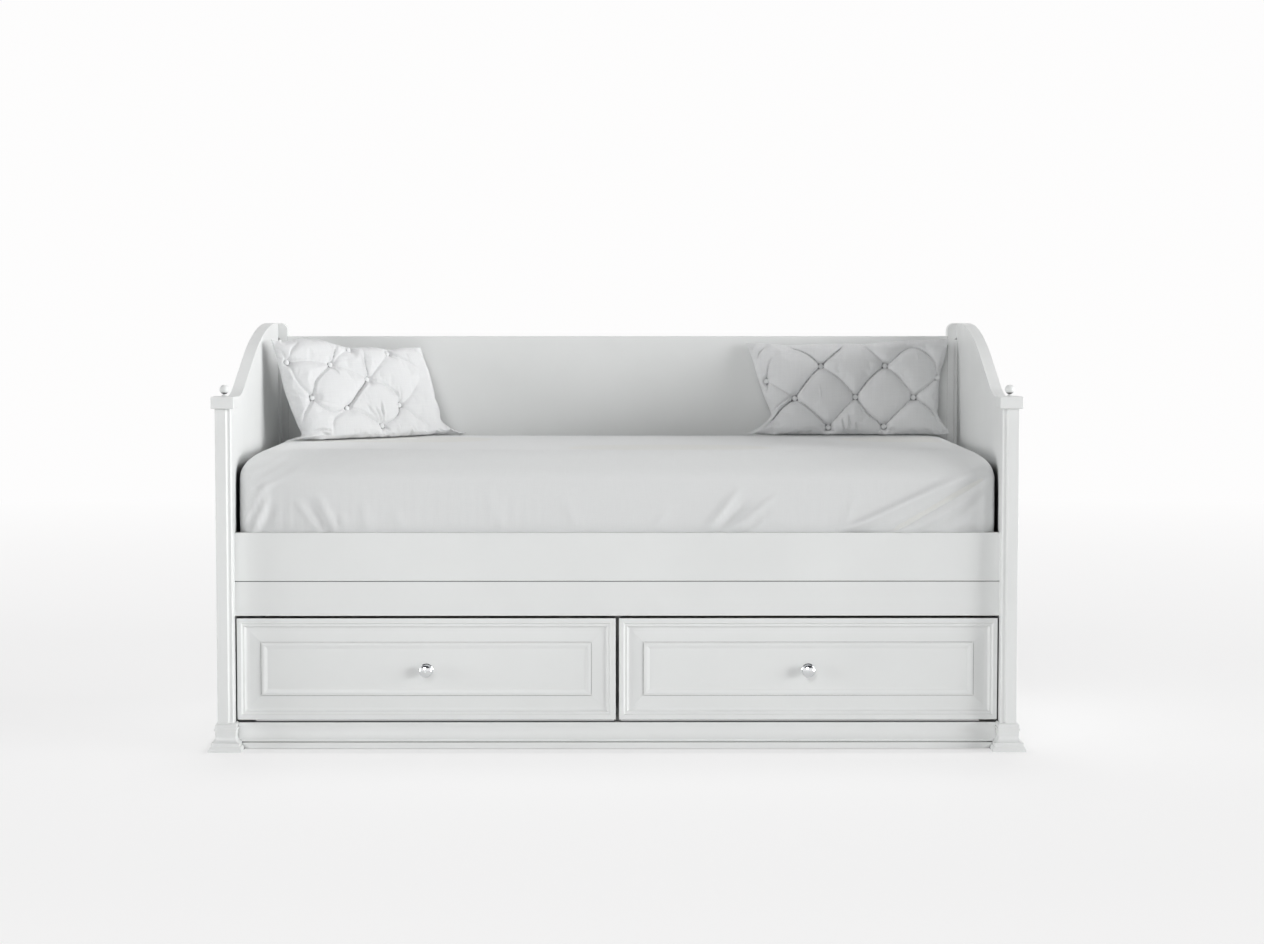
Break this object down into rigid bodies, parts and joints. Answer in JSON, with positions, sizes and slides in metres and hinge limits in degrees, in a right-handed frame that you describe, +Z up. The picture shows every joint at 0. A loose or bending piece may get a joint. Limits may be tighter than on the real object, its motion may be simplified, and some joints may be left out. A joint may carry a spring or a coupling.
{
  "type": "storage daybed",
  "caption": "Classic painted daybed with swan-neck ends, a slatted base, a mattress with tufted pillows and wide drawers under it that slide out forwards.",
  "frame": {"origin": "on the floor, under the middle of the whole bed", "axes": "+X along the length, -Y is the front with the drawers, +Z up"},
  "size_m": [2.14, 1.048, 1.111],
  "materials": {
    "painted_wood": "satin white paint",
    "drawer_wood": "clear lacquered plywood",
    "pine": "planed pine",
    "chrome": "polished",
    "zinc_steel": "zinc plated",
    "glide_plastic": "matt",
    "ticking": "quilted cotton",
    "sheet_cotton": "plain cotton",
    "pillow_linen": "woven linen"
  },
  "bodies": {
    "root": {"back_panel": "painted_wood", "top_front_board": "painted_wood", "lower_front_board": "painted_wood", "front_plinth": "painted_wood", "rear_rail": "painted_wood", "centre_divider": "painted_wood", "left_front_post": "painted_wood", "right_front_post": "painted_wood", "left_post_cap": "painted_wood", "right_post_cap": "painted_wood", "left_ball_finial": "painted_wood", "right_ball_finial": "painted_wood", "left_rear_post": "painted_wood", "right_rear_post": "painted_wood", "left_front_foot": "painted_wood", "right_front_foot": "painted_wood", "left_rear_foot": "painted_wood", "right_rear_foot": "painted_wood", "left_side_panel": "painted_wood", "right_side_panel": "painted_wood", "left_side_plinth": "painted_wood", "right_side_plinth": "painted_wood", "left_corner_bead": "painted_wood", "right_corner_bead": "painted_wood", "front_slat_bearer": "pine", "rear_slat_bearer": "pine", "centre_beam": "pine", "slats": "pine", "divider_glides": "glide_plastic", "bed_bolts": "zinc_steel", "barrel_nuts": "zinc_steel", "left_runner_fixed": "zinc_steel", "right_runner_fixed": "zinc_steel"},
    "mattress": {"mattress": "ticking", "fitted_sheet": "sheet_cotton"},
    "left_drawer": {"left_drawer_front": "painted_wood", "left_drawer_box_front": "drawer_wood", "left_drawer_inner_side": "drawer_wood", "left_drawer_outer_side": "drawer_wood", "left_drawer_back": "drawer_wood", "left_drawer_bottom": "drawer_wood", "left_knob": "chrome", "left_knob_screw": "zinc_steel", "left_runner_drawer": "zinc_steel"},
    "left_runner": {"left_runner_middle": "zinc_steel"},
    "left_pillow": {"left_pillow": "pillow_linen", "left_pillow_buttons": "pillow_linen"},
    "right_drawer": {"right_drawer_front": "painted_wood", "right_drawer_box_front": "drawer_wood", "right_drawer_inner_side": "drawer_wood", "right_drawer_outer_side": "drawer_wood", "right_drawer_back": "drawer_wood", "right_drawer_bottom": "drawer_wood", "right_knob": "chrome", "right_knob_screw": "zinc_steel", "right_runner_drawer": "zinc_steel"},
    "right_runner": {"right_runner_middle": "zinc_steel"},
    "right_pillow": {"right_pillow": "pillow_linen", "right_pillow_buttons": "pillow_linen"}
  },
  "joints": [
    {"name": "left_drawer_slide", "type": "slide", "parent": "root", "child": "left_drawer", "axis": [0, -1, 0], "range_m": [0, 0.55]},
    {"name": "left_runner_slide", "type": "slide", "parent": "root", "child": "left_runner", "axis": [0, -1, 0], "range_m": [0, 0.275]},
    {"name": "right_drawer_slide", "type": "slide", "parent": "root", "child": "right_drawer", "axis": [0, -1, 0], "range_m": [0, 0.55]},
    {"name": "right_runner_slide", "type": "slide", "parent": "root", "child": "right_runner", "axis": [0, -1, 0], "range_m": [0, 0.275]},
    {"name": "mattress_lift", "type": "slide", "parent": "root", "child": "mattress", "axis": [0, 0, 1], "range_m": [0, 0.3]},
    {"name": "left_pillow_lift", "type": "slide", "parent": "mattress", "child": "left_pillow", "axis": [0, 0, 1], "range_m": [0, 0.3]},
    {"name": "right_pillow_lift", "type": "slide", "parent": "mattress", "child": "right_pillow", "axis": [0, 0, 1], "range_m": [0, 0.3]}
  ],
  "couplings": [
    {"joint": "left_runner_slide", "follows": "left_drawer_slide", "ratio": 0.5},
    {"joint": "right_runner_slide", "follows": "right_drawer_slide", "ratio": 0.5}
  ]
}
